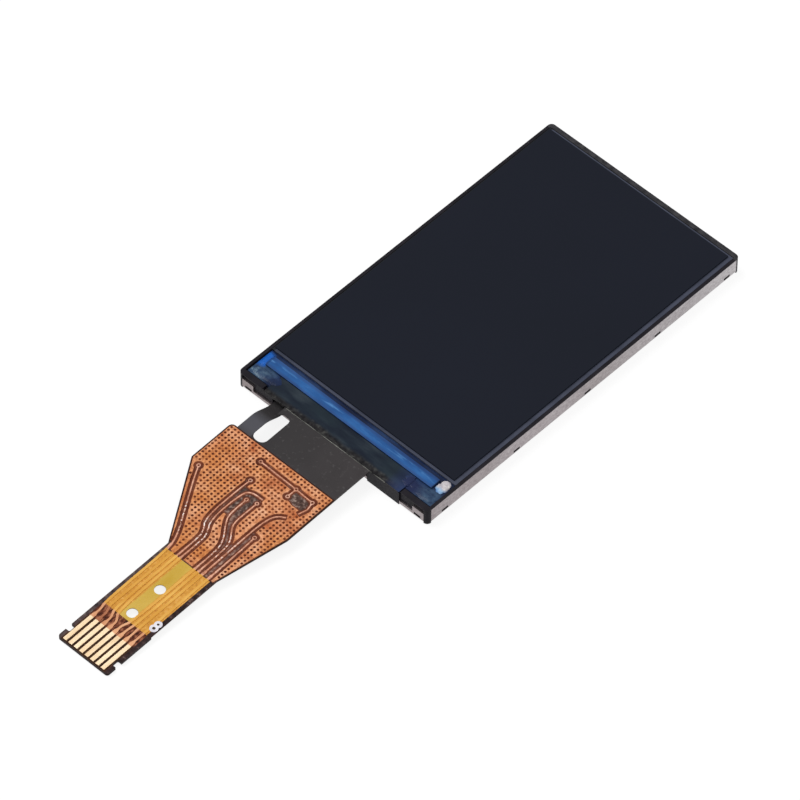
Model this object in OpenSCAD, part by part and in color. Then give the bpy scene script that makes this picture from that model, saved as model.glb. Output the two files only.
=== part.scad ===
// Small colour display module: a bonded liquid crystal panel in a steel-backed
// backlight, with an eight-contact flexible circuit that plugs into a connector.
// Millimetres. The module lies on its back, face up. The origin is the middle of
// the steel tray's underside, and the flexible circuit leaves towards -Y.

/* [Module] */
// Width over the steel tray
module_w = 17.6; // [17.4:0.1:18.4]
// Length over the steel tray
module_l = 31; // [30.8:0.1:32]
// Height of the moulded frame's rim
rim_z = 1.4; // [1.38:0.01:1.45]
// Radius of the moulded frame's outer corners
corner_r = 0.35; // [0.2:0.05:0.35]

/* [Steel tray] */
// Sheet thickness
sheet_t = 0.12; // [0.1:0.01:0.14]
// Outer radius of the folds
fold_r = 0.2; // [0.18:0.01:0.25]
// Height of the long flanges and of the far one, under the frame's lip
flange_z = 1.34; // [1.2:0.01:1.36]
// Height of the two tabs at the flexible circuit's end
tab_z = 0.9; // [0.8:0.05:1.15]
// Height of the lip between those tabs
lip_z = 0.4; // [0.36:0.02:0.5]
// Distance between the snap slots of a long flange
snap_pitch = 7; // [6:0.5:7]
// Length of a snap slot
snap_l = 0.6; // [0.4:0.05:0.8]

/* [Backlight layers] */
// Thickness of the reflector film
reflector_t = 0.08; // [0.06:0.01:0.1]
// Thickness of the light guide
guide_t = 0.45; // [0.43:0.01:0.5]
// Thickness of the diffuser film
diffuser_t = 0.05; // [0.04:0.01:0.06]
// Thickness of each prism film
prism_t = 0.055; // [0.05:0.005:0.06]
// Thickness of the black light-shield tape
shield_t = 0.05; // [0.04:0.01:0.06]

/* [Panel layers] */
// Thickness of each polariser
polariser_t = 0.12; // [0.1:0.01:0.12]
// Thickness of each sheet of glass
glass_t = 0.2; // [0.2:0.01:0.22]
// Depth of the bare glass ledge that carries the driver chip
ledge_d = 2.45; // [2.4:0.05:2.6]
// Length of the driver chip
chip_l = 15.3; // [14:0.1:15.4]
// Width of the driver chip
chip_w = 0.79; // [0.7:0.01:0.85]

/* [Flexible circuit] */
// Thickness of the film
film_t = 0.08; // [0.07:0.01:0.1]
// Thickness of the copper on the film
copper_t = 0.035; // [0.02:0.005:0.05]
// Fall of the free circuit per millimetre of its run
flex_fall = 0.04; // [0:0.005:0.04]
// Distance between contact centres
contact_pitch = 0.5; // [0.5:0.01:0.52]
// Width of a contact
contact_w = 0.31; // [0.28:0.01:0.36]
// Thickness of the plate that stiffens the plug end
stiffener_t = 0.185; // [0.1:0.005:0.19]
// Diameter of the two locating holes in the tail
locating_d = 0.8; // [0.5:0.05:0.85]

/* [Hidden] */
$fn = 48;
eps = 0.5; // how far a cutter runs past what it cuts

// Heights of the stack, bottom to top
guide_z = sheet_t + reflector_t;
diffuser_z = guide_z + guide_t;
prism_z = diffuser_z + diffuser_t;
seat_z = prism_z + 2 * prism_t;
lower_polariser_z = seat_z + shield_t;
glass_z = lower_polariser_z + polariser_t;
ledge_z = glass_z + glass_t;
cover_z = ledge_z + glass_t;
film_z = ledge_z + film_t;

// Plan of the module
half_w = module_w / 2;
near_y = -module_l / 2;
far_y = module_l / 2;
inner_w = module_w - 2 * sheet_t;
inner_l = module_l - 2 * sheet_t;
post = 0.37; // side of the corner left open for a post of the frame
tab_x = 7.4; // where the tabs begin
side_rim = 0.24; // from the outside to the panel's seat, along the sides
end_rim = 0.36; // the same at the far end
near_rim = 0.45; // the same at the circuit's end
seat_gap = 0.03; // room round the glass
box_half_w = half_w - 1; // half width of the light box
box_near = near_y + 0.9;
box_far = far_y - 1.2;

// The panel
glass_half = half_w - side_rim - seat_gap;
glass_near = near_y + 0.55;
glass_far = far_y - end_rim - seat_gap - 0.01;
cover_near = glass_near + ledge_d;
panel_x = -0.1; // sideways step of the polarisers on the glass
polariser_half = glass_half - 0.22;
polariser_far = glass_far - 0.18;
chip_x = -0.2;
chip_y = near_y + 2.175;
sealant_t = 0.06;
sealant_skin = 0.02; // sealant over the chip
chip_t = 0.18;

// Lamps
lamp_size = [3.8, 1, 0.4];
lamp_x = 3.4;
lamp_y = box_near + 0.7;
branch_z = guide_z + lamp_size.z; // underside of the branch that feeds the lamps
guide_near = lamp_y + lamp_size.y / 2 + 0.05;

// The flexible circuit: x runs across it, y along it
fold_y = near_y; // where it leaves the module and starts to fall
tip_y = near_y - 23.75;
tail_x = 0.1; // centre line of the tail
contacts = 8;
tail_half = (contacts + 1) * contact_pitch / 2 + 0.06;
tail_top = near_y - 13.4;
right_x = 3.5;
left_x = -6.12;
body_top = near_y - 3.35;
body_inset = 0.1; // bare film round the copper
neck_x = -3.3; // left side of the neck, and right side of the slot
slot_y = near_y - 0.5; // far end of the slot, closed by a tongue of the neck
strip = [-5.6, -4.45]; // sides of the strip that feeds the lamps
strip_bend = [-2, -0.1]; // where the strip bends, from fold_y
pad_x = [-6.3, 6.05]; // bonded end on the ledge
pad_y = near_y + 1.6;
gold_y = near_y - 21.1;
gold_end = tip_y + 0.1;
window_y = [near_y - 19.75, near_y - 13.8];
window_half = tail_half - 0.33;
locating_y = [near_y - 19.1, near_y - 16.5];
notch = [0.34, 0.56]; // depth and height of the notches beside the contacts
notch_y = near_y - 22.7;
stiffener_top = near_y - 19.65;
tape = [[-6.4, 6.15], [near_y, near_y + 1.7]];
tape_t = 0.05;

// Conductors
line_w = 0.16;
tail_line_w = 0.2;
fan_w = 0.15; // lines between the tail and the contacts
line_gap = 0.14;
via_r = 0.18;
via_hole_r = 0.06;
antipad_r = 0.33;
ground = 2; // the conductor that is the poured copper
signals = [for (i = [1:contacts]) if (i != ground) i];
has_via = [1, 3, 5, 6, 8];
// Lines in the tail, from its centre line
tail_lines = [-1.95, -1.51, -1.13, -0.82, 0.52, 0.85, 1.22, 1.75];
spread_y = near_y - 19.6; // where the lines begin to spread to the contacts
// Routes of the conductors above the tail, from their vias down
routes = [
    [[-5.23, -22.94], [-4.66, -24], [-3.56, -25.8], [-2.2, -28.02]],
    [],
    [[-1.8, -21.5], [-1.86, -22.5], [-1.85, -25.75], [-1.1, -26.7], [-1.03, -27.5]],
    [[0, -22.12], [-1, -22.12], [-1.46, -22.6], [-1.5, -25.55], [-0.8, -26.7], [-0.72, -27.2]],
    [[-0.87, -22.83], [-0.87, -24.5], [-0.5, -25.2], [0.3, -26.2], [0.6, -27]],
    [[-0.12, -22.6], [-0.16, -24.7], [0.15, -25.3], [0.75, -26], [0.95, -26.8]],
    [[2.15, -22.1], [1.5, -22.5], [1.25, -23.5], [1.25, -25.5]],
    [[1.74, -24.73], [1.79, -25.6]],
];
// Straight pieces of the net along the top of the body
bias_net = [
    [[-2.38, -19.91], [0.97, -19.98]],
    [[0.97, -19.98], [2.55, -20.05]],
    [[0.97, -19.98], [0.96, -20.78]],
    [[2.55, -20.05], [2.7, -20.7], [2.5, -21.4]],
];
// Neighbours with no copper between them: the first one's number, and where that begins
bare_between = [[3, near_y - 6.55], [5, near_y - 10.1], [6, near_y - 10.6], [7, near_y - 8.9]];
// Places with no copper
bare_patches = [
    [[-1.4, -22.3], [-0.1, -22.3], [-0.14, -24.5], [0.55, -25.75], [0.2, -26.05],
     [-0.5, -25.3], [-0.9, -24.6], [-1.4, -24.6]],
    [[1.1, -20.1], [2.4, -20.15], [2.6, -20.6], [2.5, -21.1], [1.65, -21.1], [1.1, -20.95]],
];
island_y = near_y - 9;
bias_vias = [[-2.38, -19.91], [0.97, -19.98], [0.96, -20.78], [2.55, -20.05]];

// ---------- helpers ----------

// Points of an arc about c from angle a to angle b
function arc(c, r, a, b, n = 5) = [for (i = [0:n]) c + r * [cos(a + (b - a) * i / n), sin(a + (b - a) * i / n)]];

// Cuts each inner corner of a route into two, n times
function eased(p, n) = n == 0 ? p : eased(
    concat([p[0]],
           [for (i = [0:len(p) - 2]) each [
               if (i > 0) 0.75 * p[i] + 0.25 * p[i + 1],
               if (i < len(p) - 2) 0.25 * p[i] + 0.75 * p[i + 1]]],
           [p[len(p) - 1]]), n - 1);

function unit(v) = v / norm(v);
function across(a, b) = unit([a.y - b.y, b.x - a.x]);
// Mitred sideways step at point i of route p, for a half width of 1
function side_step(p, i) =
    let (a = across(p[max(i - 1, 0)], p[max(i, 1)]),
         b = across(p[min(i, len(p) - 2)], p[min(i + 1, len(p) - 1)]))
    (a + b) / (1 + a * b);

// A line of copper along route p, whose third numbers are its widths, grown by g
module ribbon(p, g = 0)
    polygon(concat(
        [for (i = [0:len(p) - 1]) [p[i].x, p[i].y] - side_step(p, i) * (p[i].z / 2 + g)],
        [for (i = [len(p) - 1:-1:0]) [p[i].x, p[i].y] + side_step(p, i) * (p[i].z / 2 + g)]));

module block(x, y, z) translate([x[0], y[0], z[0]]) cube([x[1] - x[0], y[1] - y[0], z[1] - z[0]]);

module sheet(half, near, far, z, t, step = 0) block([step - half, step + half], [near, far], [z, z + t]);

// Outline of a box's end with rounded lower corners
module tub_profile(w, h, r) {
    translate([-w / 2, r]) square([w, h - r]);
    translate([r - w / 2, 0]) square([w - 2 * r, h]);
    for (s = [-1, 1]) translate([s * (w / 2 - r), r]) circle(r);
}

// Block with rounded lower edges
module tub(w, l, h, r)
    intersection() {
        rotate([90, 0, 0]) linear_extrude(l, center = true) tub_profile(w, h, r);
        rotate([90, 0, 90]) linear_extrude(w, center = true) tub_profile(l, h, r);
    }

module rounded(w, l, r) {
    square([w - 2 * r, l], center = true);
    square([w, l - 2 * r], center = true);
    for (x = [-1, 1], y = [-1, 1]) translate([x * (w / 2 - r), y * (l / 2 - r)]) circle(r);
}

// ---------- backlight ----------

// Middles of the snap slots along a long flange
function snap_ys() = [for (i = [-2:2]) 0.2 + i * snap_pitch];
near_snaps = [-7.85, 7.85];
far_snaps = [-5, 0, 5];
snap_z = [0.2, 0.42];
boss_x = [3.2, 6.2]; // stretch of the near end with no flange, filled by the frame

module snap_slots(l, z, reach) {
    for (s = [-1, 1], y = snap_ys())
        block([s * half_w - reach, s * half_w + reach], [y - l / 2, y + l / 2], z);
    for (x = near_snaps)
        block([x - l / 2, x + l / 2], [near_y - reach, near_y + reach], z);
    for (x = far_snaps)
        block([x - l / 2, x + l / 2], [far_y - reach, far_y + reach], z);
}

module rear_tray() color("silver")
    difference() {
        tub(module_w, module_l, flange_z, fold_r);
        translate([0, 0, sheet_t]) tub(inner_w, inner_l, flange_z, fold_r - sheet_t);
        for (x = [-1, 1], y = [-1, 1])
            translate([x * half_w, y * far_y, 0]) cube([2 * post, 2 * post, 4], center = true);
        block([-half_w, half_w], [near_y - eps, near_y + fold_r], [tab_z, 2]);
        block([-tab_x, tab_x], [near_y - eps, near_y + fold_r], [lip_z, 2]);
        block(boss_x, [near_y - eps, near_y + fold_r], [-eps, 2]);
        snap_slots(snap_l, snap_z, sheet_t + 0.01);
    }

// Hook that fills a snap slot, with its lower face sloping in
module snap_hook(w) {
    reach = sheet_t - 0.02;
    rise = snap_z[1] - snap_z[0] - 0.04;
    rotate([90, 0, 90]) linear_extrude(w, center = true)
        polygon([[0, 0], [reach, rise * 0.6], [reach, rise], [0, rise]]);
}

module snap_hooks() {
    w = snap_l - 0.06;
    z = snap_z[0] + 0.02;
    for (s = [-1, 1], y = snap_ys())
        translate([s * inner_w / 2, y, z]) rotate(-90 * s) snap_hook(w);
    for (x = near_snaps) translate([x, -inner_l / 2, z]) rotate(180) snap_hook(w);
    for (x = far_snaps) translate([x, inner_l / 2, z]) snap_hook(w);
}

guide_ear = [[8.6, 10], 0.3]; // place along the side and reach of the locating ears

module mould_frame() color("#1c1b1e")
    difference() {
        union() {
            translate([0, 0, sheet_t]) tub(inner_w, inner_l, rim_z - sheet_t, fold_r - sheet_t);
            translate([0, 0, flange_z]) linear_extrude(rim_z - flange_z) rounded(module_w, module_l, corner_r);
            intersection() {
                linear_extrude(rim_z) rounded(module_w, module_l, corner_r);
                for (x = [-1, 1], y = [-1, 1])
                    translate([x * (half_w + 0.01), y * (far_y + 0.01), 1]) cube([2 * post, 2 * post, 4], center = true);
            }
            block([boss_x[0] + 0.03, boss_x[1] - 0.03], [near_y, near_y + fold_r], [0, ledge_z]);
            snap_hooks();
        }
        // light box, with seats for the guide's ears
        block([-box_half_w, box_half_w], [box_near, box_far], [-eps, 2]);
        for (s = [-1, 1]) {
            x = s * box_half_w;
            block([x - guide_ear[1], x + guide_ear[1]], guide_ear[0] + [-0.05, 0.05], [-eps, seat_z]);
        }
        // seat of the panel
        block([side_rim - half_w, half_w - side_rim], [box_near, far_y - end_rim], [seat_z, 2]);
        block([side_rim - half_w, half_w - side_rim], [near_y + near_rim, box_near + eps], [glass_z, 2]);
        // way out for the circuit, and below it for the strip that feeds the lamps
        block([-6.55, 6.3], [near_y - eps, near_y + near_rim + eps], [ledge_z, 2]);
        block([strip[0] - 0.1, strip[1] + 0.1], [near_y - eps, box_near + eps], [branch_z, 2]);
    }

// Plan of a layer in the light box, with its locating ears
module eared_plan(half, near, far, gap) {
    translate([-half, near]) square([2 * half, far - near]);
    reach = half + guide_ear[1] - gap;
    translate([-reach, guide_ear[0][0]]) square([2 * reach, guide_ear[0][1] - guide_ear[0][0]]);
}

module reflector_film() color("white")
    sheet(box_half_w - 0.05, box_near + 0.05, box_far - 0.05, sheet_t, reflector_t);

module light_guide() color("#dfe9ee")
    translate([0, 0, guide_z]) linear_extrude(guide_t) eared_plan(box_half_w - 0.05, guide_near, box_far - 0.05, 0.05);

module optical_film(z, t)
    translate([0, 0, z]) linear_extrude(t) eared_plan(box_half_w - 0.1, guide_near + 0.35, box_far - 0.1, 0.05);

module diffuser_film() color("#f4f4f2") optical_film(diffuser_z, diffuser_t);
module lower_prism_film() color("#e6ecef") optical_film(prism_z, prism_t);
module upper_prism_film() color("#e9eef0") optical_film(prism_z + prism_t, prism_t);

shield_window = [7.6, near_y + 4.4, far_y - 1.35]; // half width, near and far sides
module light_shield_tape() color("#101012")
    difference() {
        sheet(glass_half - 0.05, box_near + 0.1, glass_far - 0.03, seat_z, shield_t);
        sheet(shield_window[0], shield_window[1], shield_window[2], seat_z - eps, 2);
    }

// Side-firing lamps under the branch of the circuit
lamp_cavity = [3.1, 0.35, 0.26];
module at_lamp(s) translate([s * lamp_x, lamp_y, guide_z]) children();
module lamp_cavity(extra = 0)
    translate([-lamp_cavity.x / 2, lamp_size.y / 2 - lamp_cavity.y, (lamp_size.z - lamp_cavity.z) / 2])
        cube(lamp_cavity + [0, extra, 0]);
module lamp_housing(s) color("#f1efe6")
    at_lamp(s) difference() {
        translate([-lamp_size.x / 2, -lamp_size.y / 2, 0]) cube(lamp_size);
        lamp_cavity(eps);
    }
module lamp_phosphor(s) color("#e8d65a") at_lamp(s) lamp_cavity();

// ---------- panel ----------

module lower_polariser() color("#33363c")
    sheet(polariser_half, cover_near + 0.1, polariser_far, lower_polariser_z, polariser_t, panel_x);
module array_glass() color("#5f6b72") sheet(glass_half, glass_near, glass_far, glass_z, glass_t);
module filter_glass() color("#4b525d") sheet(glass_half, cover_near, glass_far, ledge_z, glass_t);
module upper_polariser() color("#23262e")
    sheet(polariser_half, cover_near + 0.2, polariser_far, cover_z, polariser_t, panel_x);

module chip_block(grow)
    block([chip_x - chip_l / 2 - grow, chip_x + chip_l / 2 + grow],
          [chip_y - chip_w / 2 - grow, chip_y + chip_w / 2 + grow],
          [ledge_z, ledge_z + chip_t + (grow > 0 ? sealant_skin : 0)]);

module driver_chip() color("#2a3a55") chip_block(0);

// Dome of silver paste that joins the two sheets of glass at a corner
paste = [7.98, near_y + 2.65, 0.42, 0.17]; // place, radius on the glass and height
module paste_ball() {
    r = (paste[2] ^ 2 + paste[3] ^ 2) / (2 * paste[3]);
    translate([paste[0], paste[1], ledge_z + paste[3] - r]) sphere(r);
}
module ground_paste() color("#c9c6c4")
    intersection() {
        paste_ball();
        block([paste[0] - 1, glass_half], [paste[1] - 1, cover_near], [ledge_z, 2]);
    }

module ledge_sealant() color("#2c5fa6")
    difference() {
        union() {
            block([0.04 - glass_half, glass_half - 0.04], [glass_near + 0.05, cover_near], [ledge_z, ledge_z + sealant_t]);
            chip_block(0.05);
        }
        chip_block(0);
        block(tape[0], [glass_near - eps, tape[1][1]], [0, 2]);
        paste_ball();
    }

// ---------- flexible circuit ----------

// Height of the film's upper face over the fall
function flex_z(y) = film_z - flex_fall * (fold_y - y);

// The space between heights lo and hi above the film's upper face, over the fall
module fall_band(lo, hi)
    translate([-10, 0, 0]) rotate([90, 0, 90]) linear_extrude(20)
        polygon([[fold_y, film_z + lo], [fold_y, film_z + hi],
                 [tip_y - 1, flex_z(tip_y - 1) + hi], [tip_y - 1, flex_z(tip_y - 1) + lo]]);

// A layer with that plan, laid on the falling circuit
module on_fall(lo, hi)
    intersection() {
        linear_extrude(2.5) children();
        fall_band(lo, hi);
    }

// Round-cornered notch beside the contacts, s says on which side
module plug_notch(s)
    translate([tail_x + s * tail_half, notch_y]) {
        square([2 * (notch.x - 0.1), notch.y], center = true);
        square([2 * notch.x, notch.y - 0.2], center = true);
        for (y = [-1, 1]) translate([-s * (notch.x - 0.1), y * (notch.y / 2 - 0.1)]) circle(0.1);
    }

module locating_holes()
    for (y = locating_y) translate([tail_x, y]) circle(d = locating_d);

module window_plan(g)
    translate([tail_x - window_half + g, window_y[0] + g])
        square([2 * (window_half - g), window_y[1] - window_y[0] - 2 * g]);

// Free part of the film: neck, body, tail and plug end
module film_plan() {
    ear_r = 0.22;
    difference() {
        polygon(concat(
            [[strip[1] + 0.06, fold_y], [right_x, fold_y], [right_x, near_y - 7.9], [tail_x + tail_half, tail_top - 0.1]],
            arc([tail_x + tail_half - ear_r, tip_y + ear_r], ear_r, 0, -90),
            arc([tail_x - tail_half + ear_r, tip_y + ear_r], ear_r, -90, -180),
            [[tail_x - tail_half, tail_top], [left_x, near_y - 7.2]],
            arc([left_x + 0.35, body_top - 0.35], 0.35, 180, 90),
            [[strip[0], body_top], [strip[0], fold_y + strip_bend[0]], [strip[1], fold_y + strip_bend[0]]],
            arc([strip[1] + 0.5, body_top + 0.55], 0.5, 180, 270),
            arc([neck_x - 0.5, body_top + 0.55], 0.5, 270, 360),
            arc([neck_x - 0.35, slot_y - 0.35], 0.35, 0, 90),
            [[strip[1] + 0.4, slot_y], [strip[1] + 0.06, slot_y - 0.3]]));
        for (s = [-1, 1]) plug_notch(s);
        window_plan(0);
    }
}

// Side view of the strip: it bends from the fall to the lamps' level
function strip_top(n = 12) = [for (i = [0:n])
    let (s = i / n, y = fold_y + strip_bend[0] + s * (strip_bend[1] - strip_bend[0]), w = s * s * (3 - 2 * s))
    [y, flex_z(y) * (1 - w) + (branch_z + film_t) * w]];
module strip_side() {
    top = concat(strip_top(), [[box_near + 0.1, branch_z + film_t]]);
    polygon(concat(top, [for (i = [len(top) - 1:-1:0]) top[i] - [0, film_t]]));
}

module flex_film() color("#2b292b") {
    on_fall(-film_t, 0) film_plan();
    block(pad_x, [fold_y, pad_y], [ledge_z, film_z]);
    translate([strip[0], 0, 0]) rotate([90, 0, 90]) linear_extrude(strip[1] - strip[0]) strip_side();
    block([-6.6, 6.6], [box_near + 0.05, guide_near - 0.05], [branch_z, branch_z + film_t]);
}

// Clear amber stretch of the tail, with the locating holes
module tail_window() color("#c39a2e")
    on_fall(-film_t, 0) difference() {
        window_plan(0);
        locating_holes();
    }

module bonding_tape() color("#242426")
    block(tape[0], tape[1], [film_z, film_z + tape_t]);

module plug_stiffener() color("#1d1b1e")
    on_fall(-film_t - stiffener_t, -film_t) difference() {
        r = 0.22;
        polygon(concat(
            [[tail_x - tail_half, stiffener_top], [tail_x + tail_half, stiffener_top]],
            arc([tail_x + tail_half - r, tip_y + r], r, 0, -90),
            arc([tail_x - tail_half + r, tip_y + r], r, -90, -180)));
        for (s = [-1, 1]) plug_notch(s);
    }

// ---------- conductors ----------

// Stretch of conductor i down the tail to its contact
function contact_x(i) = tail_x + (i - (contacts + 1) / 2) * contact_pitch;
function tail_run(i) = let (a = tail_x + tail_lines[i - 1], b = contact_x(i))
    [[a, window_y[1] + 0.1, tail_line_w], [a, spread_y, tail_line_w],
     [b, spread_y - 0.7, fan_w], [b, gold_y + 0.45, fan_w], [b, gold_y + 0.25, contact_w], [b, gold_y, contact_w]];
function body_run(i) = [for (p = routes[i - 1]) [p.x, p.y, line_w]];
function conductor(i) = eased(concat(body_run(i), tail_run(i)), 2);
function via_at(i) = routes[i - 1][0];

module signal_trace(i) color("#c9824c")
    on_fall(0, copper_t) difference() {
        union() {
            ribbon(conductor(i));
            if (len(search(i, has_via))) translate(via_at(i)) circle(via_r);
        }
        if (len(search(i, has_via))) translate(via_at(i)) circle(via_hole_r);
    }

module bias_lines(g) for (p = bias_net) ribbon([for (q = p) [q.x, q.y, line_w]], g);

module bias_trace() color("#c9824c")
    on_fall(0, copper_t) difference() {
        union() {
            bias_lines(0);
            for (p = bias_vias) translate(p) circle(via_r);
        }
        for (p = bias_vias) translate(p) circle(via_hole_r);
    }

// The ground between conductor i and the next, below y
module between(i, y) {
    a = [for (p = conductor(i)) [p.x, p.y]];
    b = [for (p = conductor(i + 1)) [p.x, p.y]];
    intersection() {
        polygon(concat(a, [for (j = [len(b) - 1:-1:0]) b[j]]));
        translate([-10, y - 20]) square(20);
    }
}

// Copper poured over the body round the conductors
module pour() difference() {
    polygon(concat(
        [[left_x + body_inset, near_y - 7.17],
         [tail_x - tail_half + 0.12, tail_top - 0.02], [tail_x - tail_half + 0.12, window_y[1] + 0.05],
         [tail_x + tail_half - 0.12, window_y[1] + 0.05],
         [right_x - body_inset, near_y - 7.88], [right_x - body_inset, body_top - body_inset]],
        arc([left_x + 0.38, body_top - 0.38], 0.28, 90, 180)));
    for (i = signals) ribbon(conductor(i), line_gap);
    for (i = has_via) translate(via_at(i)) circle(antipad_r);
    for (p = bias_vias) translate(p) circle(antipad_r);
    bias_lines(line_gap);
    for (p = bare_patches) polygon(p);
    for (b = bare_between) between(b[0], b[1]);
}

// The pour's main piece runs on into the tail as a conductor
module ground_copper() color("#c9824c")
    on_fall(0, copper_t) {
        difference() {
            pour();
            between(4, island_y);
        }
        ribbon(tail_run(ground));
    }

// Its other piece lies between conductors 4 and 5
module centre_copper() color("#c9824c")
    on_fall(0, copper_t) intersection() {
        pour();
        between(4, island_y);
    }

module contact(i) color("#e6c98f")
    on_fall(0, copper_t)
        translate([contact_x(i) - contact_w / 2, gold_end]) square([contact_w, gold_y - gold_end]);

// ---------- the part ----------

rear_tray();
mould_frame();
reflector_film();
light_guide();
diffuser_film();
lower_prism_film();
upper_prism_film();
light_shield_tape();
for (i = [1, 2]) {
    lamp_housing(2 * i - 3);
    lamp_phosphor(2 * i - 3);
}
lower_polariser();
array_glass();
filter_glass();
upper_polariser();
driver_chip();
ledge_sealant();
ground_paste();
flex_film();
tail_window();
bonding_tape();
plug_stiffener();
ground_copper();
centre_copper();
bias_trace();
for (i = signals)
    signal_trace(i);
for (i = [1:contacts])
    contact(i);
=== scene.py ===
import math

import bpy
from mathutils import Matrix, Vector
from mathutils.bvhtree import BVHTree


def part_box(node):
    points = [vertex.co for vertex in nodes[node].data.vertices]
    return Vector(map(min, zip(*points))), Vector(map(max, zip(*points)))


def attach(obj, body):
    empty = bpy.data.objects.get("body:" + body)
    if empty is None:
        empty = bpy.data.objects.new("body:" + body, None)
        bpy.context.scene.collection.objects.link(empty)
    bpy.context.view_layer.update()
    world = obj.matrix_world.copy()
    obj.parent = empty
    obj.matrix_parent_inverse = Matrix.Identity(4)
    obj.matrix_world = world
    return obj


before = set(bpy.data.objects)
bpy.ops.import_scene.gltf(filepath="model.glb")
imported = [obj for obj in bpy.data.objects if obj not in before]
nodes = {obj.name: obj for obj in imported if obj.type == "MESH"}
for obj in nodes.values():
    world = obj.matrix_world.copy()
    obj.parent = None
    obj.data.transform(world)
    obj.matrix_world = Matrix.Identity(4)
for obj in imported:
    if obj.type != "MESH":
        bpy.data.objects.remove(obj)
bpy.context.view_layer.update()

# Lengths and places are in mm, apart from the studio's, which are in metres as the frame is.

MM = 0.001
ABOVE_ALL = 0.01  # metres, higher than anything on the part
SHEEN = 0.10  # specular level, low enough for a colour to render about as it is written


# ---------- places, from the solids ----------

def box_mm(name):
    """Lowest and highest corner of a solid."""
    low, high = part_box(name)
    return low / MM, high / MM


film_low, film_high = box_mm("flex_film")
window_low, window_high = box_mm("tail_window")
copper_low, copper_high = box_mm("ground_copper")
chip_low, chip_high = box_mm("driver_chip")
sealant_low, sealant_high = box_mm("ledge_sealant")
glass_low, glass_high = box_mm("filter_glass")
tape_low, tape_high = box_mm("bonding_tape")
module_end = box_mm("rear_tray")[0].y
tail_x = (window_low.x + window_high.x) / 2
chip_middle = (chip_low.y + chip_high.y) / 2
around_contacts = 0.12
contacts_left = box_mm("contact_1")[0].x - around_contacts
contacts_right = box_mm("contact_8")[1].x + around_contacts
contacts_top = box_mm("contact_1")[1].y


def tree(*names):
    """A search tree of the named solids."""
    points, faces = [], []
    for name in names:
        mesh = nodes[name].data
        start = len(points)
        points += [v.co.copy() for v in mesh.vertices]
        faces += [[start + i for i in p.vertices] for p in mesh.polygons]
    return BVHTree.FromPolygons(points, faces)


def height(solids, x, y):
    """Height of the topmost face over (x, y), or None."""
    hit = solids.ray_cast(Vector((x * MM, y * MM, ABOVE_ALL)), Vector((0, 0, -1)))[0]
    return None if hit is None else hit.z / MM


# ---------- materials ----------

def shown(r, g, b):
    """A colour as a display shows it, 0 to 255, in the shader's own scale."""
    return tuple(((v / 255 + 0.055) / 1.055) ** 2.4 for v in (r, g, b))


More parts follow.
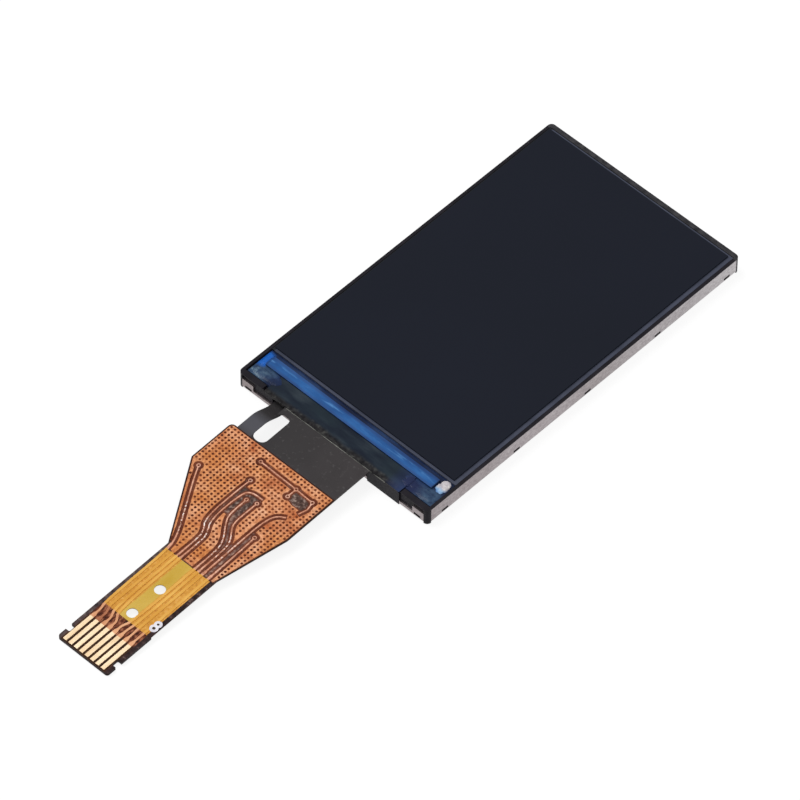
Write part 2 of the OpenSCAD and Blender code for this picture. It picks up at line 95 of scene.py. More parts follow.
class Look:
    """A material whose colour and roughness come from layered noise in object space."""

    def __init__(self, name):
        self.material = bpy.data.materials.new(name)
        self.material.use_nodes = True
        self.tree = self.material.node_tree
        self.tree.nodes.clear()
        self.out = self.add("ShaderNodeOutputMaterial")
        self.bsdf = self.add("ShaderNodeBsdfPrincipled")
        self.bsdf.inputs["Specular IOR Level"].default_value = SHEEN
        self.link(self.bsdf.outputs["BSDF"], self.out.inputs["Surface"])
        self.place = self.add("ShaderNodeTexCoord").outputs["Object"]
        self.split = self.add("ShaderNodeSeparateXYZ")
        self.link(self.place, self.split.inputs["Vector"])

    def add(self, kind, **settings):
        """A new node with those settings."""
        node = self.tree.nodes.new(kind)
        for key, value in settings.items():
            setattr(node, key, value)
        return node

    def link(self, output, socket):
        """Joins a node's output to another's input."""
        self.tree.links.new(output, socket)

    def noise(self, scale, stretch=(1, 1, 1), detail=4.0):
        """Noise with that many features a metre, squeezed along each axis by stretch."""
        mapping = self.add("ShaderNodeMapping")
        mapping.inputs["Scale"].default_value = stretch
        self.link(self.place, mapping.inputs["Vector"])
        noise = self.add("ShaderNodeTexNoise")
        noise.inputs["Scale"].default_value = scale
        noise.inputs["Detail"].default_value = detail
        self.link(mapping.outputs["Vector"], noise.inputs["Vector"])
        return noise.outputs["Fac"]

    def ramp(self, value, *stops):
        """Display colours over a value: stops are (position, (r, g, b))."""
        ramp = self.add("ShaderNodeValToRGB")
        elements = ramp.color_ramp.elements
        while len(elements) < len(stops):
            elements.new(0.5)
        for element, (position, colour) in zip(elements, stops):
            element.position = position
            element.color = (*shown(*colour), 1)
        self.link(value, ramp.inputs["Fac"])
        return ramp.outputs["Color"]

    def range(self, value, low, high, to_low=0.0, to_high=1.0):
        """The value between low and high, taken to the other range and held inside it."""
        part = self.add("ShaderNodeMapRange", clamp=True)
        ends = {"From Min": low, "From Max": high, "To Min": to_low, "To Max": to_high}
        for socket, number in ends.items():
            part.inputs[socket].default_value = number
        self.link(value, part.inputs["Value"])
        return part.outputs["Result"]

    def times(self, a, b):
        """The product of two masks: 1 where both are."""
        product = self.add("ShaderNodeMath", operation="MULTIPLY")
        self.link(a, product.inputs[0])
        self.link(b, product.inputs[1])
        return product.outputs[0]

    def waver(self, scale, amount):
        """From here on places waver by up to half of amount, so that edges come out uneven."""
        noise = self.add("ShaderNodeTexNoise")
        noise.inputs["Scale"].default_value = scale
        noise.inputs["Detail"].default_value = 3.0
        self.link(self.place, noise.inputs["Vector"])
        shift = self.add("ShaderNodeVectorMath", operation="MULTIPLY_ADD")
        shift.inputs[1].default_value = (amount * MM,) * 3
        shift.inputs[2].default_value = (-amount * MM / 2,) * 3
        self.link(noise.outputs["Color"], shift.inputs[0])
        moved = self.add("ShaderNodeVectorMath", operation="ADD")
        self.link(self.place, moved.inputs[0])
        self.link(shift.outputs[0], moved.inputs[1])
        self.split = self.add("ShaderNodeSeparateXYZ")
        self.link(moved.outputs[0], self.split.inputs["Vector"])

    def over(self, axis, edge, soft=0.2):
        """1 beyond a place on an axis and 0 before it, with an edge soft mm wide."""
        start, end = (edge - soft / 2) * MM, (edge + soft / 2) * MM
        return self.range(self.split.outputs[axis], start, end)

    def under(self, axis, edge, soft=0.2):
        """1 before a place on an axis and 0 beyond it."""
        start, end = (edge - soft / 2) * MM, (edge + soft / 2) * MM
        return self.range(self.split.outputs[axis], start, end, 1.0, 0.0)

    def band(self, axis, low, high, soft=0.2):
        """1 between two places on an axis."""
        return self.times(self.over(axis, low, soft), self.under(axis, high, soft))

    def layers(self, below, *above, blend="MIX"):
        """Colours laid over one another, each where its mask is 1, or everywhere without one."""
        factor, lower, upper, result = 0, 6, 7, 2  # the colour sockets of a mix node
        for mask, colour in above:
            mix = self.add("ShaderNodeMix", data_type="RGBA", blend_type=blend)
            mix.inputs[factor].default_value = 1.0
            if mask is not None:
                self.link(mask, mix.inputs[factor])
            self.link(below, mix.inputs[lower])
            if isinstance(colour, tuple):
                mix.inputs[upper].default_value = (*shown(*colour), 1)
            else:
                self.link(colour, mix.inputs[upper])
            below = mix.outputs[result]
        return below

    def finish(self, colour, rough, grain=None, relief=0.0, **fixed):
        """Links the colour, a range of roughness over the grain, and the grain's relief."""
        self.link(colour, self.bsdf.inputs["Base Color"])
        grain = grain or self.noise(6000)
        self.link(self.range(grain, 0.3, 0.7, *rough), self.bsdf.inputs["Roughness"])
        if relief:
            bump = self.add("ShaderNodeBump")
            bump.inputs["Distance"].default_value = relief * MM
            self.link(grain, bump.inputs["Height"])
            self.link(bump.outputs["Normal"], self.bsdf.inputs["Normal"])
        for key, value in fixed.items():
            self.bsdf.inputs[key.replace("_", " ")].default_value = value
        return self.material


def plain(name, dark, light, scale=900, rough=(0.4, 0.5), stretch=(1, 1, 1), relief=0.0, grain=6000, **fixed):
    """Two tones over noise, with a fine relief."""
    look = Look(name)
    colour = look.ramp(look.noise(scale, stretch), (0.32, dark), (0.68, light))
    return look.finish(colour, rough, look.noise(grain, stretch), relief, **fixed)


def steel():
    """Rolled sheet: paler towards the far end, with a fine speckle."""
    look = Look("rolled_steel")
    near = look.ramp(look.noise(90, (0.4, 1, 0.4)), (0.34, (154, 144, 144)), (0.66, (184, 177, 179)))
    far = look.ramp(look.noise(150), (0.3, (184, 180, 182)), (0.7, (202, 199, 200)))
    speck = look.ramp(look.noise(7000, (1, 0.6, 1), 3), (0.3, (214, 210, 212)), (0.7, (255, 255, 255)))
    colour = look.layers(near, (look.over("Y", 5, 18), far))
    colour = look.layers(colour, (None, speck), blend="MULTIPLY")
    return look.finish(colour, (0.32, 0.46), look.noise(9000), 0.0008, Metallic=1.0)


def film():
    """Black cover film on the neck, brown round the copper, purple-black at the plug."""
    look = Look("cover_film_base")
    tone = look.noise(700)
    neck = look.ramp(tone, (0.3, (58, 54, 55)), (0.7, (65, 61, 62)))
    dust = look.range(look.noise(3800, detail=3), 0.60, 0.72, 0.0, 0.5)
    branch = look.times(
        look.under("X", film_low.x + 2.2, 0.1), look.band("Y", copper_high.y + 0.05, module_end - 1.6, 1))
    neck = look.layers(
        neck, (look.under("X", 0, 9), (52, 50, 51)), (dust, (84, 82, 82)), (branch, (80, 80, 86)))

    body = look.ramp(tone, (0.3, (30, 14, 10)), (0.7, (56, 28, 20)))

    speck = look.noise(2600, detail=3)
    left = look.ramp(speck, (0.32, (44, 34, 38)), (0.6, (88, 72, 70)), (0.7, (122, 110, 104)))
    right = look.ramp(speck, (0.34, (28, 14, 14)), (0.58, (58, 40, 40)), (0.70, (112, 90, 84)))
    border = look.layers(left, (look.over("X", tail_x, 1), right))

    blotch = look.noise(4400, (1, 0.5, 1), 3)
    fan = look.ramp(blotch, (0.38, (50, 18, 8)), (0.52, (104, 50, 30)), (0.66, (166, 106, 78)))
    gaps = look.ramp(tone, (0.3, (44, 20, 4)), (0.7, (66, 38, 16)))
    inside = look.band("X", contacts_left, contacts_right, 0.05)
    colour = look.layers(
        neck,
        (look.under("Y", copper_high.y + 0.09, 0.05), body),
        (look.under("Y", window_high.y + 0.45, 0.5), border),
        (look.times(inside, look.under("Y", window_low.y, 0.05)), fan),
        (look.times(inside, look.under("Y", contacts_top, 0.05)), gaps))
    return look.finish(colour, (0.42, 0.58), look.noise(14000), 0.0015)


def copper(name, body, under_window, fan, painted_glints=False):
    """Copper under a cover film: three tones on the body, two under the window, two in the fan, and with
    painted_glints, painted glints on the lower body.
    """
    look = Look(name)
    dark, mid, light = body
    colour = look.ramp(look.noise(900, detail=6), (0.30, dark), (0.5, mid), (0.70, light))
    stain = look.range(look.noise(330, detail=2), 0.60, 0.70, 0.0, 0.55)
    colour = look.layers(colour, (stain, dark))
    if painted_glints:
        # painted glints: white specks of highlight and dark specks of shade, on the lower body at the left
        where = look.times(
            look.band("Y", window_high.y + 1.5, window_high.y + 3.7, 0.9),
            look.under("X", tail_x + 1.1, 1.6))
        fine = look.noise(7600, (1, 0.8, 1), 3)
        colour = look.layers(
            colour,
            (look.times(where, look.range(fine, 0.53, 0.58)), (255, 244, 238)),
            (look.times(where, look.range(fine, 0.46, 0.41, 0.0, 0.9)), (92, 46, 32)))
    else:
        warm = look.range(look.noise(240, detail=1), 0.46, 0.60, 0.0, 0.6)
        colour = look.layers(colour, (warm, (222, 142, 74)))
    grain = look.ramp(look.noise(5200, detail=3), (0.34, (206, 192, 184)), (0.58, (255, 255, 255)))
    colour = look.layers(colour, (None, grain), blend="MULTIPLY")
    streak = look.noise(1700, (1, 0.25, 1))
    amber = look.ramp(streak, (0.3, under_window[0]), (0.7, under_window[1]))
    brown = look.ramp(streak, (0.3, fan[0]), (0.7, fan[1]))
    colour = look.layers(
        colour,
        (look.under("Y", window_high.y + 0.02, 0.05), amber),
        (look.under("Y", window_low.y, 0.15), brown))
    return look.finish(colour, (0.32, 0.5), look.noise(3200), 0.004)


def window():
    """Amber film, olive along the middle where no copper lies below."""
    look = Look("amber_window")
    tone = look.noise(900, (1, 0.35, 1))
    fine = look.noise(4200, detail=3)
    amber = look.layers(
        look.ramp(tone, (0.3, (202, 138, 42)), (0.7, (222, 160, 64))),
        (look.range(fine, 0.54, 0.66, 0.0, 0.5), (176, 112, 34)),
        (look.range(fine, 0.46, 0.34, 0.0, 0.5), (236, 182, 96)))
    olive = look.ramp(tone, (0.3, (198, 160, 50)), (0.7, (214, 178, 80)))
    look.waver(900, 0.16)
    colour = look.layers(amber, (look.band("X", tail_x - 0.60, tail_x + 0.36, 0.12), olive))
    return look.finish(colour, (0.25, 0.4), look.noise(3000), 0.003, Specular_IOR_Level=0.2)


def resin():
    """Blue resin on the glass ledge: bright over the chip with painted light, shade and a highlight streak,
    navy round it, grey-blue at the ends, a painted highlight at the near left.
    """
    look = Look("blue_resin")
    tone = look.noise(650, (0.5, 1.5, 1))
    navy = look.ramp(tone, (0.3, (10, 20, 46)), (0.5, (24, 40, 74)), (0.7, (46, 70, 110)))

    # painted light and shade over the chip: the middle band is lighter and the edges darker, as light falls
    # across a rounded top
    middle = look.ramp(tone, (0.3, (30, 70, 126)), (0.5, (39, 90, 152)), (0.7, (54, 112, 178)))
    rim = look.ramp(tone, (0.3, (26, 54, 104)), (0.7, (52, 92, 150)))
    # highlight_streak: a painted highlight running along the chip's middle
    highlight_streak = look.range(look.noise(2200, (0.3, 1.5, 1), 4), 0.50, 0.62, 0.0, 0.85)
    highlight_streak = look.times(look.band("Y", chip_middle - 0.02, chip_middle + 0.14, 0.16), highlight_streak)
    highlight_streak = look.times(highlight_streak, look.range(look.noise(420, detail=1), 0.40, 0.60))
    bright = look.layers(
        rim,
        (look.band("Y", chip_low.y + 0.12, chip_high.y - 0.16, 0.16), middle),
        (highlight_streak, (94, 150, 208)))
    over_chip = look.times(
        look.band("X", chip_low.x, chip_high.x, 0.1), look.over("Z", chip_high.z + 0.005, 0.004))

    look.waver(800, 0.9)
    fine = look.noise(3600, detail=3)
    # pale speckled tones: a painted highlight along the near edge at the left
    pale = look.ramp(fine, (0.34, (40, 62, 94)), (0.54, (64, 88, 114)), (0.68, (112, 136, 152)))
    grey = look.ramp(fine, (0.3, (34, 54, 84)), (0.7, (60, 84, 110)))
    right_haze = look.times(
        look.over("X", tape_high.x - 0.55, 0.8), look.under("Y", tape_high.y - 0.1, 0.3))
    right_end = look.times(look.over("X", tape_high.x + 0.85, 0.9), look.under("Y", tape_high.y, 0.3))
    left_end = look.times(look.under("X", tape_low.x - 0.5, 0.5), look.under("Y", tape_high.y, 0.4))
    left_edge_highlight = look.times(
        look.under("X", tape_low.x - 0.8, 0.6),
        look.band("Y", sealant_low.y - 0.3, sealant_low.y + 0.45, 0.3))
    beside_chip = look.times(
        look.under("X", chip_low.x - 0.10, 0.25),
        look.band("Y", sealant_low.y + 0.85, sealant_high.y - 0.25, 0.35))
    colour = look.layers(
        navy, (right_haze, (28, 38, 74)), (right_end, grey), (left_end, grey), (left_edge_highlight, pale),
        (beside_chip, (26, 96, 186)), (over_chip, bright))
    return look.finish(colour, (0.2, 0.35), look.noise(2400), 0.004, Specular_IOR_Level=0.15)


def tape():
    """Black tape over the joint: mottled grey-blue, brown-black by the fold, bluer on the right."""
    look = Look("black_tape")
    tone = look.noise(900, (0.4, 1.5, 1), 5)
    colour = look.ramp(tone, (0.32, (18, 24, 38)), (0.5, (29, 38, 49)), (0.68, (48, 57, 65)))
    teal = look.range(look.noise(330, (0.5, 1.5, 1), 2), 0.52, 0.64, 0.0, 0.4)
    speck = look.noise(3600, detail=3)
    brown = look.ramp(speck, (0.34, (20, 19, 22)), (0.56, (42, 41, 42)), (0.68, (66, 66, 64)))
    blue = look.ramp(tone, (0.3, (24, 32, 62)), (0.7, (46, 60, 96)))
    look.waver(900, 0.45)
    colour = look.layers(
        colour,
        (teal, (36, 50, 56)),
        (look.under("Y", tape_low.y + 0.40, 0.3), brown),
        (look.over("X", tape_high.x - 0.80, 1.3), blue))
    grain = look.noise(5000, (0.45, 1.6, 1))
    return look.finish(colour, (0.4, 0.6), grain, 0.004, Specular_IOR_Level=0.08)


def paste():
    """Conductive paste by the chip's end: white, blue where resin runs into it."""
    look = Look("silver_paste")
    fine = look.noise(3000)
    white = look.ramp(fine, (0.3, (150, 148, 158)), (0.5, (206, 200, 204)), (0.7, (236, 232, 228)))
    blue = look.ramp(fine, (0.3, (56, 112, 178)), (0.7, (170, 204, 232)))
    look.waver(1500, 0.5)
    colour = look.layers(white, (look.under("Y", glass_low.y - 0.78), blue))
    return look.finish(colour, (0.4, 0.6), fine, 0.02)


def moulding():
    """Black plastic: greyer across the far end, near black elsewhere."""
    look = Look("black_moulding")
    near = look.ramp(look.noise(900, detail=5), (0.3, (17, 15, 21)), (0.7, (34, 31, 38)))
    far = look.ramp(look.noise(2400), (0.3, (34, 34, 38)), (0.7, (66, 65, 68)))
    colour = look.layers(near, (look.over("Y", glass_high.y - 0.05, 0.1), far))
    return look.finish(colour, (0.35, 0.55), look.noise(9000), 0.003)


def glass_edge():
    """Bare glass round the polariser: a grey-blue line of painted highlight, dark along one side."""
    look = Look("glass_edge")
    # lit: the painted highlight of the glass border
    lit = look.ramp(look.noise(700), (0.3, (62, 66, 80)), (0.7, (76, 80, 96)))
    colour = look.layers(lit, (look.under("X", glass_low.x + 0.23, 0.1), (34, 37, 42)))
    return look.finish(colour, (0.2, 0.3))


def film_between():
    """The film between the copper pieces: brown by their edges, speckled where it lies bare."""
    look = Look("cover_between")
    brown = look.ramp(look.noise(1400), (0.3, (84, 30, 8)), (0.7, (122, 60, 34)))
    speck = look.noise(4200, detail=2)
    upper = look.ramp(speck, (0.35, (60, 44, 38)), (0.55, (94, 72, 64)), (0.68, (156, 136, 126)))
    lower = look.ramp(speck, (0.35, (88, 58, 50)), (0.55, (120, 86, 76)), (0.68, (170, 138, 122)))
    bare = look.layers(upper, (look.under("Y", window_high.y + 5.1, 1.0), lower))
    clearance = look.add("ShaderNodeAttribute", attribute_name="clearance")
    colour = look.layers(brown, (clearance.outputs["Fac"], bare))
    return look.finish(colour, (0.35, 0.5), speck, 0.004)


RESIN = resin()
PASTE = paste()
BLACK = moulding()
COPPER = copper(
    "covered_copper", body=((196, 110, 64), (232, 158, 110), (250, 190, 150)),
    under_window=((212, 148, 54), (230, 172, 80)), fan=((150, 84, 54), (200, 134, 98)))
LINE = copper(
    "covered_line", body=((210, 142, 110), (232, 170, 140), (248, 200, 176)),
    under_window=((218, 156, 62), (238, 184, 92)), fan=((200, 128, 88), (240, 182, 138)), painted_glints=True)
GOLD = plain(
    "hard_gold", (220, 190, 150), (244, 220, 186), 1200, (0.35, 0.5), (1, 0.3, 1), 0.002, Metallic=0.4)
PANEL = plain(
    "polariser", (30, 33, 42), (31, 34, 44), 60, (0.2, 0.24), grain=400, IOR=1.16, Specular_IOR_Level=0.3)
LEDGE = plain("ledge_glass", (18, 26, 46), (26, 38, 64), 300, (0.1, 0.2))
SILICON = plain("silicon", (40, 78, 128), (60, 104, 160), 900, (0.15, 0.3))
PLATE = plain("stiffener", (36, 24, 27), (58, 42, 44), 600, (0.4, 0.55), relief=0.002)
WHITE = plain("white_film", (232, 232, 231), (245, 245, 244), 300)
CLEAR = plain("optical_film", (228, 230, 232), (241, 243, 244), 300, (0.2, 0.35))
GUIDE = plain("light_guide", (220, 228, 231), (233, 240, 242), 300, (0.1, 0.2), Transmission_Weight=0.6)
HOUSING = plain("lamp_housing", (226, 223, 214), (240, 238, 230), 900, (0.45, 0.6))
PHOSPHOR = plain("phosphor", (220, 202, 90), (240, 224, 126), 2500, (0.3, 0.4), relief=0.003)
OPENING = plain("hatch_opening", (66, 16, 0), (122, 60, 30), 700)
DIP = plain("film_dip", (84, 32, 14), (134, 76, 54), 1400, (0.35, 0.5), relief=0.002)
FOLD = plain("fold_sheen", (18, 18, 20), (142, 142, 136), 2200, (0.35, 0.5), (0.4, 1, 1), 0.002)
INK = plain("white_ink", (222, 218, 228), (242, 240, 246), 2500, (0.5, 0.6), relief=0.002)
NUMBER_GROUND = plain("number_ground", (30, 20, 12), (84, 66, 48), 3000, (0.5, 0.6))


def dress_solids():
    """Gives every solid its material; numbered ones share their family's."""
    worn = {
        "rear_tray": steel(), "mould_frame": BLACK, "reflector_film": WHITE, "light_guide": GUIDE,
        "diffuser_film": WHITE, "lower_prism_film": CLEAR, "upper_prism_film": CLEAR,
        "light_shield_tape": BLACK, "lower_polariser": PANEL, "array_glass": LEDGE,
        "filter_glass": glass_edge(), "upper_polariser": PANEL, "driver_chip": SILICON,
        "ledge_sealant": RESIN, "ground_paste": PASTE, "bonding_tape": tape(), "flex_film": film(),
        "tail_window": window(), "plug_stiffener": PLATE, "ground_copper": COPPER,
        "centre_copper": COPPER, "bias_trace": LINE,
    }
    families = {"signal_trace": LINE, "contact": GOLD, "lamp_housing": HOUSING, "lamp_phosphor": PHOSPHOR}
    for name, solid in nodes.items():
        material = worn.get(name) or families[name.rstrip("0123456789").rstrip("_")]
        solid.data.materials.clear()
        solid.data.materials.append(material)


dress_solids()


# ---------- pieces on the solids ----------

film_tree = tree("flex_film")
pour_tree = tree("ground_copper", "centre_copper")
copper_tree = tree(
    "ground_copper", "centre_copper", "bias_trace", *[n for n in nodes if n.startswith("signal_trace")])
ledge_tree = tree(
    "ledge_sealant", "bonding_tape", "array_glass", "filter_glass", "mould_frame", "driver_chip",
    "ground_paste", "flex_film", "rear_tray", "upper_polariser")
COPPER_T = 0.035  # thickness of the covered copper on the film
MARK_GAP = 0.0015  # keeps a flat mark clear of the face it lies on
neck_y, plug_y = module_end - 1.0, film_low.y + 0.05
neck_z, plug_z = height(film_tree, 0, neck_y), height(film_tree, tail_x, plug_y)


def film_z(y):
    """Height of the film's upper face, from two places on it."""
    return neck_z + (plug_z - neck_z) * (y - neck_y) / (plug_y - neck_y)


def piece(name, points, faces, material, smooth=False):
    """A mesh that rides on the part."""
    mesh = bpy.data.meshes.new(name)
    mesh.from_pydata([Vector(p) * MM for p in points], [], faces)
    mesh.materials.append(material)
    for p in mesh.polygons:
        p.use_smooth = smooth
    obj = bpy.data.objects.new(name, mesh)
    bpy.context.scene.collection.objects.link(obj)
    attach(obj, "root")
    return obj


def circle(cx, cy, r, sides):
    """Points round a circle, as (x, y)."""
    angles = [math.tau * k / sides for k in range(sides)]
    return [(cx + r * math.cos(a), cy + r * math.sin(a)) for a in angles]


def hatch():
    """Round openings of the hatched copper, wherever a whole one fits."""
    pitch_x, pitch_y, first_x, first_y = 0.325, 0.307, 0.17, 0.2
    r, margin, sides, tested = 0.098, 0.012, 10, 8
    points, faces = [], []
    for i in range(int((copper_high.x - copper_low.x) / pitch_x) + 1):
        for j in range(int((copper_high.y - window_high.y) / pitch_y) + 1):
            x = copper_low.x + first_x + i * pitch_x
            y = copper_high.y - first_y - j * pitch_y
            needed = [(x, y), *circle(x, y, r + margin, tested)]
            if any(height(pour_tree, *p) is None for p in needed):
                continue
            faces.append([len(points) + k for k in range(sides)])
            points += [(px, py, film_z(py) + COPPER_T + MARK_GAP) for px, py in circle(x, y, r, sides)]
    piece("hatch_openings", points, faces, OPENING)


def cover_dips():
    """Narrow strips where the cover film dips along the copper's upper edges."""
    width, shortest, lift = 0.034, 0.001, Vector((0, 0, 0.001))
    points, faces = [], []
    for solid in nodes.values():
        mesh = solid.data
        if mesh.materials[0] not in (COPPER, LINE):
            continue
        upper = {}
        for p in mesh.polygons:
            if p.normal.z > 0.9:
                for key in p.edge_keys:
                    upper.setdefault(key, []).append(p)
        for key, polygons in upper.items():
            a, b = (mesh.vertices[i].co / MM for i in key)
            if len(polygons) > 1 or min(a.y, b.y) < window_high.y or (b - a).length < shortest:
                continue
            side = polygons[0].normal.cross(b - a).normalized() * width
            if side.dot(polygons[0].center / MM - a) < 0:
                side.negate()
            faces.append([len(points) + k for k in range(4)])
            points += [a + lift, b + lift, b + side + lift, a + side + lift]
    piece("cover_dips", points, faces, DIP)


def cover_between():
    """The film that shows between the copper pieces, marked with its distance from copper."""
    rows, columns, step, lift, brown_rim = 150, 130, 0.02, 0.006, 0.05
    top, low = copper_high.y - 0.003, window_high.y + 0.05
    across = [copper_low.x + step * k for k in range(int((copper_high.x - copper_low.x) / step) + 2)]
    points, clearance = [], []
    for i in range(rows + 1):
        y = top - (top - low) * i / rows
        inside = [x for x in across if height(copper_tree, x, y) is not None]
        for j in range(columns + 1):
            x = inside[0] + (inside[-1] - inside[0]) * j / columns
            z = film_z(y) + lift
            points.append((x, y, z))
            gap = copper_tree.find_nearest(Vector((x, y, z)) * MM)[3] / MM
            clearance.append(min(1.0, max(0.0, (gap - brown_rim) / brown_rim)))
    n = columns + 1
    starts = [i * n + j for i in range(rows) for j in range(columns)]
    faces = [[a, a + n, a + n + 1, a + 1] for a in starts]
    cover = piece("cover_between", points, faces, film_between())
    mark = cover.data.attributes.new("clearance", "FLOAT", "POINT")
    mark.data.foreach_set("value", clearance)


def smear(name, centre, radii, rise, material, rough=0.1, power=1.0, tilt=0.0):
    """A low blob with an uneven rim that lies on what is below it and swells by rise.

    A power above 1 makes its outline squarer, and tilt turns it by that many degrees.
    """
    rings, sides, reach, seat, fall = 14, 44, 0.07, 0.004, 2.4
    ripples = ((3, 1.3, 0.6), (7, 0.4, 0.4), (13, 0.0, 0.2))  # waves round the rim, phase, size
    cos_tilt, sin_tilt = math.cos(math.radians(tilt)), math.sin(math.radians(tilt))
    points = []

    def place(share, angle):
        """Adds the point that share of the way out from the centre; the rim dips into what is below."""
        c, s = math.cos(angle), math.sin(angle)
        uneven = sum(size * math.sin(count * angle + phase) for count, phase, size in ripples)
        outline = (abs(c) ** (2 * power) + abs(s) ** (2 * power)) ** (-1 / (2 * power))
        out = outline * share * (1 + rough * uneven * share)
        dx, dy = radii[0] * c * out, radii[1] * s * out
        x = centre[0] + dx * cos_tilt - dy * sin_tilt
        y = centre[1] + dx * sin_tilt + dy * cos_tilt
        r = reach if share < 1 else 0.0
        below = max(height(ledge_tree, x + i * r, y + j * r) for i in (-1, 0, 1) for j in (-1, 0, 1))
        points.append((x, y, below + rise * (1 - share ** fall) + (seat if share < 1 else -seat)))

    place(0.0, 0.0)
    for i in range(1, rings + 1):
        for k in range(sides):
            place(i / rings, math.tau * k / sides)
    faces = [[0, 1 + k, 1 + (k + 1) % sides] for k in range(sides)]
    for i in range(rings - 1):
        a, b = 1 + i * sides, 1 + (i + 1) * sides
        for k in range(sides):
            m = (k + 1) % sides
            faces.append([a + k, b + k, b + m, a + m])
    piece(name, points, faces, material, smooth=True)


def gels():
    """Blobs of resin at both ends of the ledge and of the tape, and a smear of paste by the chip."""
    left, right, near, far = sealant_low.x, sealant_high.x, sealant_low.y, glass_low.y
    smear("gel_left_corner", (left + 0.36, far - 0.80), (0.33, 0.60), 0.05, RESIN)
    smear("gel_left", (left + 1.04, near + 0.47), (0.98, 0.43), 0.07, RESIN)
    smear("gel_right", (right - 0.88, near + 0.49), (0.84, 0.45), 0.06, RESIN)
    smear("gel_tape_left", (tape_low.x + 0.02, near + 0.55), (0.42, 0.42), 0.03, RESIN, rough=0.16)
    smear("gel_tape_right", (tape_high.x - 0.02, near + 0.60), (0.60, 0.42), 0.03, RESIN, rough=0.3)
    smear("paste_smear", (right - 0.50, far - 0.80), (0.46, 0.42), 0.08, PASTE,
          rough=0.16, power=0.8, tilt=38)


def fold_line():
    """Rounded edge of the film where it folds down over the module's end."""
    r, steps, first_angle, swept = 0.05, 7, 35, 110
    y, z = module_end - 0.01, film_z(module_end) - r + 0.012
    points = []
    for x in (film_low.x + 2.3, film_high.x - 1.7):
        for i in range(steps + 1):
            a = math.radians(first_angle + swept * i / steps)
            points.append((x, y - r * math.cos(a), z + r * math.sin(a)))
    faces = [[i, i + 1, steps + i + 2, steps + i + 1] for i in range(steps)]
    piece("fold_edge", points, faces, FOLD, smooth=True)


def ring_stroke(cx, cy, r):
    """A ring of ink on the tail, with a raised middle."""
    width, sides, gap = 0.20, 28, 0.002
    profile = ((-width / 2, 0.001), (0, 0.006), (width / 2, 0.0))  # offset from the ring, height
    points, faces = [], []
    for k in range(sides):
        a = math.tau * k / sides
        for offset, up in profile:
            y = cy + (r + offset) * math.sin(a)
            points.append((cx + (r + offset) * math.cos(a), y, film_z(y) + COPPER_T + gap + up))
        m = (k + 1) % sides
        for i in range(2):
            faces.append([3 * k + i, 3 * k + i + 1, 3 * m + i + 1, 3 * m + i])
    return points, faces


def disc(cx, cy, r):
    """A flat disc on the tail."""
    sides = 20
    points = [(x, y, film_z(y) + COPPER_T + MARK_GAP) for x, y in circle(cx, cy, r, sides)]
    return points, [list(range(sides))]


def pin_number():
    """The 8 of the last contact, printed beside the window on a dark ground."""
    x, y = tail_x + 1.955, window_low.y + 0.915
    bowls = ((y + 0.20, 0.19), (y - 0.21, 0.215))
    layers = (("pin_number_ground", NUMBER_GROUND, disc), ("pin_number", INK, ring_stroke))
    for name, material, shape in layers:
        points, faces = [], []
        for cy, r in bowls:
            more_points, more_faces = shape(x, cy, r)
            faces += [[i + len(points) for i in f] for f in more_faces]
            points += more_points
        piece(name, points, faces, material, smooth=True)


hatch()
cover_dips()
cover_between()
gels()
fold_line()
pin_number()


# ---------- floor, light and camera, in metres ----------

def empty_tree(owner):
    """The cleared node tree of a material or world."""
    owner.use_nodes = True
    owner.node_tree.nodes.clear()
    return owner.node_tree


def for_rays(graph, first, *others):
    """1 for rays of the kinds named, else 0."""
    path = graph.nodes.new("ShaderNodeLightPath")
    value = path.outputs[first]
    for kind in others:
        either = graph.nodes.new("ShaderNodeMath")
        either.operation = "MAXIMUM"
        graph.links.new(value, either.inputs[0])
        graph.links.new(path.outputs[kind], either.inputs[1])
        value = either.outputs[0]
    return value


def floor_material():
    """A pale matt floor that keeps the shadow, with a glow that the camera and reflections see."""
    material = bpy.data.materials.new("pale_floor")
    graph = empty_tree(material)
    diffuse = graph.nodes.new("ShaderNodeBsdfDiffuse")
    diffuse.inputs["Color"].default_value = (0.22, 0.22, 0.22, 1)
    strength = graph.nodes.new("ShaderNodeMath")
    strength.operation = "MULTIPLY"
    strength.inputs[1].default_value = 0.83
    glow = graph.nodes.new("ShaderNodeEmission")
    total = graph.nodes.new("ShaderNodeAddShader")
    out = graph.nodes.new("ShaderNodeOutputMaterial")
    graph.links.new(for_rays(graph, "Is Camera Ray", "Is Glossy Ray"), strength.inputs[0])
    graph.links.new(strength.outputs[0], glow.inputs["Strength"])
    graph.links.new(diffuse.outputs[0], total.inputs[0])
    graph.links.new(glow.outputs[0], total.inputs[1])
    graph.links.new(total.outputs[0], out.inputs["Surface"])
    return material


def floor():
    """The floor, a hair below the part."""
    r, gap = 0.6, 0.00002
    mesh = bpy.data.meshes.new("floor")
    mesh.from_pydata([(-r, -r, 0), (r, -r, 0), (r, r, 0), (-r, r, 0)], [], [(0, 1, 2, 3)])
    mesh.materials.append(floor_material())
    obj = bpy.data.objects.new("floor", mesh)
    obj.location.z = -gap
    bpy.context.scene.collection.objects.link(obj)


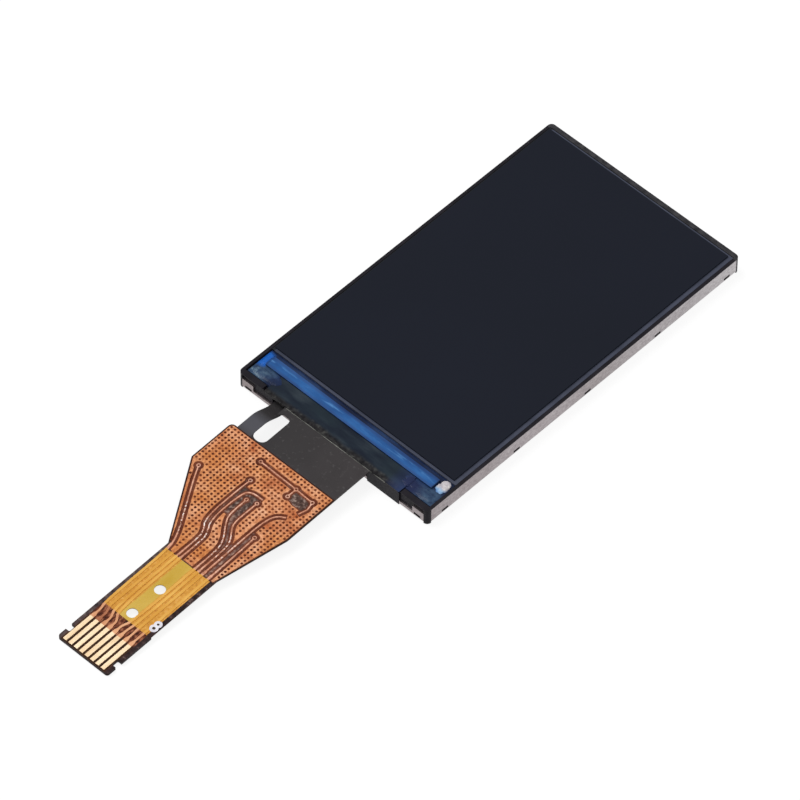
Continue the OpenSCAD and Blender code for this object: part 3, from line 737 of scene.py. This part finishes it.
def room():
    """A plain room: soft light from all sides, and white where it is seen or mirrored."""
    world = bpy.data.worlds.new("studio")
    bpy.context.scene.world = world
    graph = empty_tree(world)
    light = graph.nodes.new("ShaderNodeBackground")
    light.inputs["Strength"].default_value = 0.58
    white = graph.nodes.new("ShaderNodeBackground")
    white.inputs["Strength"].default_value = 1.0
    mix = graph.nodes.new("ShaderNodeMixShader")
    out = graph.nodes.new("ShaderNodeOutputWorld")
    graph.links.new(for_rays(graph, "Is Camera Ray", "Is Glossy Ray", "Is Transmission Ray"), mix.inputs[0])
    graph.links.new(light.outputs[0], mix.inputs[1])
    graph.links.new(white.outputs[0], mix.inputs[2])
    graph.links.new(mix.outputs[0], out.inputs["Surface"])


def softbox(name, place, size, power):
    """A round area light that faces the part."""
    lamp = bpy.data.lights.new(name, "AREA")
    lamp.shape = "DISK"
    lamp.size = size
    lamp.energy = power
    obj = bpy.data.objects.new(name, lamp)
    obj.location = place
    obj.rotation_mode = "QUATERNION"
    obj.rotation_quaternion = (-Vector(place)).to_track_quat("-Z", "Y")
    bpy.context.scene.collection.objects.link(obj)


def camera(azimuth, elevation, roll, distance, aim, lens):
    """Looks at aim from that bearing; a bearing of 0 looks along +Y."""
    a, e, turn = (math.radians(v) for v in (azimuth, elevation, roll))
    back = Vector((math.sin(a) * math.cos(e), -math.cos(a) * math.cos(e), math.sin(e)))
    right = Vector((0, 0, 1)).cross(back).normalized()
    up = back.cross(right)
    right, up = (right * math.cos(turn) + up * math.sin(turn), up * math.cos(turn) - right * math.sin(turn))
    place = Vector(aim) + back * distance
    data = bpy.data.cameras.new("camera")
    data.sensor_width = 36
    data.lens = lens
    data.clip_start, data.clip_end = 0.01, 10
    obj = bpy.data.objects.new("camera", data)
    obj.matrix_world = Matrix([(right[i], up[i], back[i], place[i]) for i in range(3)]).to_4x4()
    bpy.context.scene.collection.objects.link(obj)
    bpy.context.scene.camera = obj


floor()
room()
softbox("key", (-0.25, -0.05, 0.45), size=0.35, power=1.2)
softbox("fill", (0.34, -0.26, 0.52), size=0.30, power=0.9)
camera(azimuth=43.1455, elevation=50.6793, roll=0.6225, distance=0.53525,
       aim=(0.000025, -0.008937, 0.000015), lens=357.06)

bpy.context.scene.view_settings.view_transform = "Standard"
